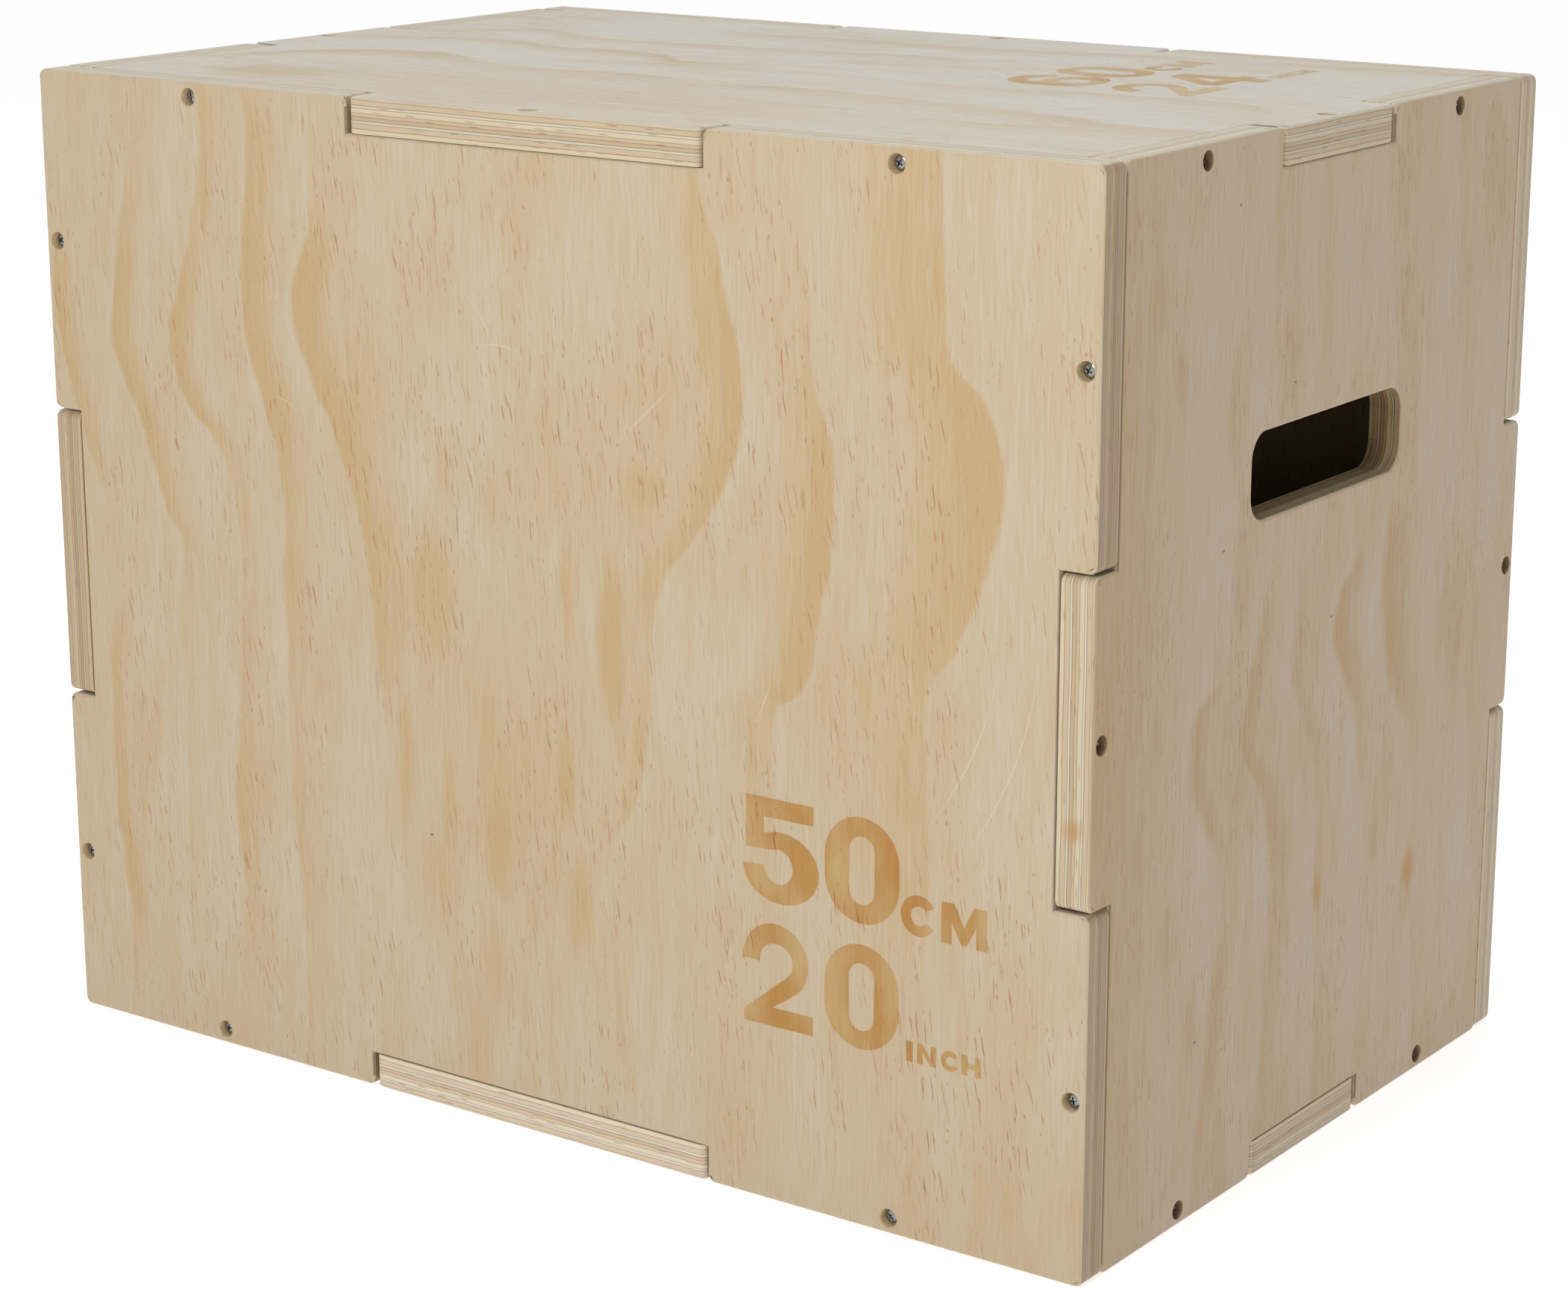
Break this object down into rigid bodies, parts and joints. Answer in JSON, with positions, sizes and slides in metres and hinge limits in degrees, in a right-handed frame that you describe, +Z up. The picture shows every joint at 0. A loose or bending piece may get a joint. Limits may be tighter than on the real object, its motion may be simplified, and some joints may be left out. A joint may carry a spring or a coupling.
{
  "type": "plyometric jump box",
  "caption": "Plywood plyometric jump box with finger-jointed panels, sunk screws and a rounded handle slot in each side; it is turned onto another face for a different jump height.",
  "frame": {"origin": "on the floor, under the middle of the box", "axes": "+X along the wide front, +Y from the front to the back, +Z up"},
  "size_m": [0.75, 0.5, 0.6],
  "materials": {
    "plywood": "sanded pine plywood, unvarnished",
    "screw": "bright zinc"
  },
  "bodies": {
    "root": {"front_panel": "plywood", "back_panel": "plywood", "left_side_panel": "plywood", "right_side_panel": "plywood", "top_panel": "plywood", "bottom_panel": "plywood", "front_panel_screws": "screw", "back_panel_screws": "screw", "left_side_panel_screws": "screw", "right_side_panel_screws": "screw", "top_panel_screws": "screw", "bottom_panel_screws": "screw"}
  },
  "joints": []
}
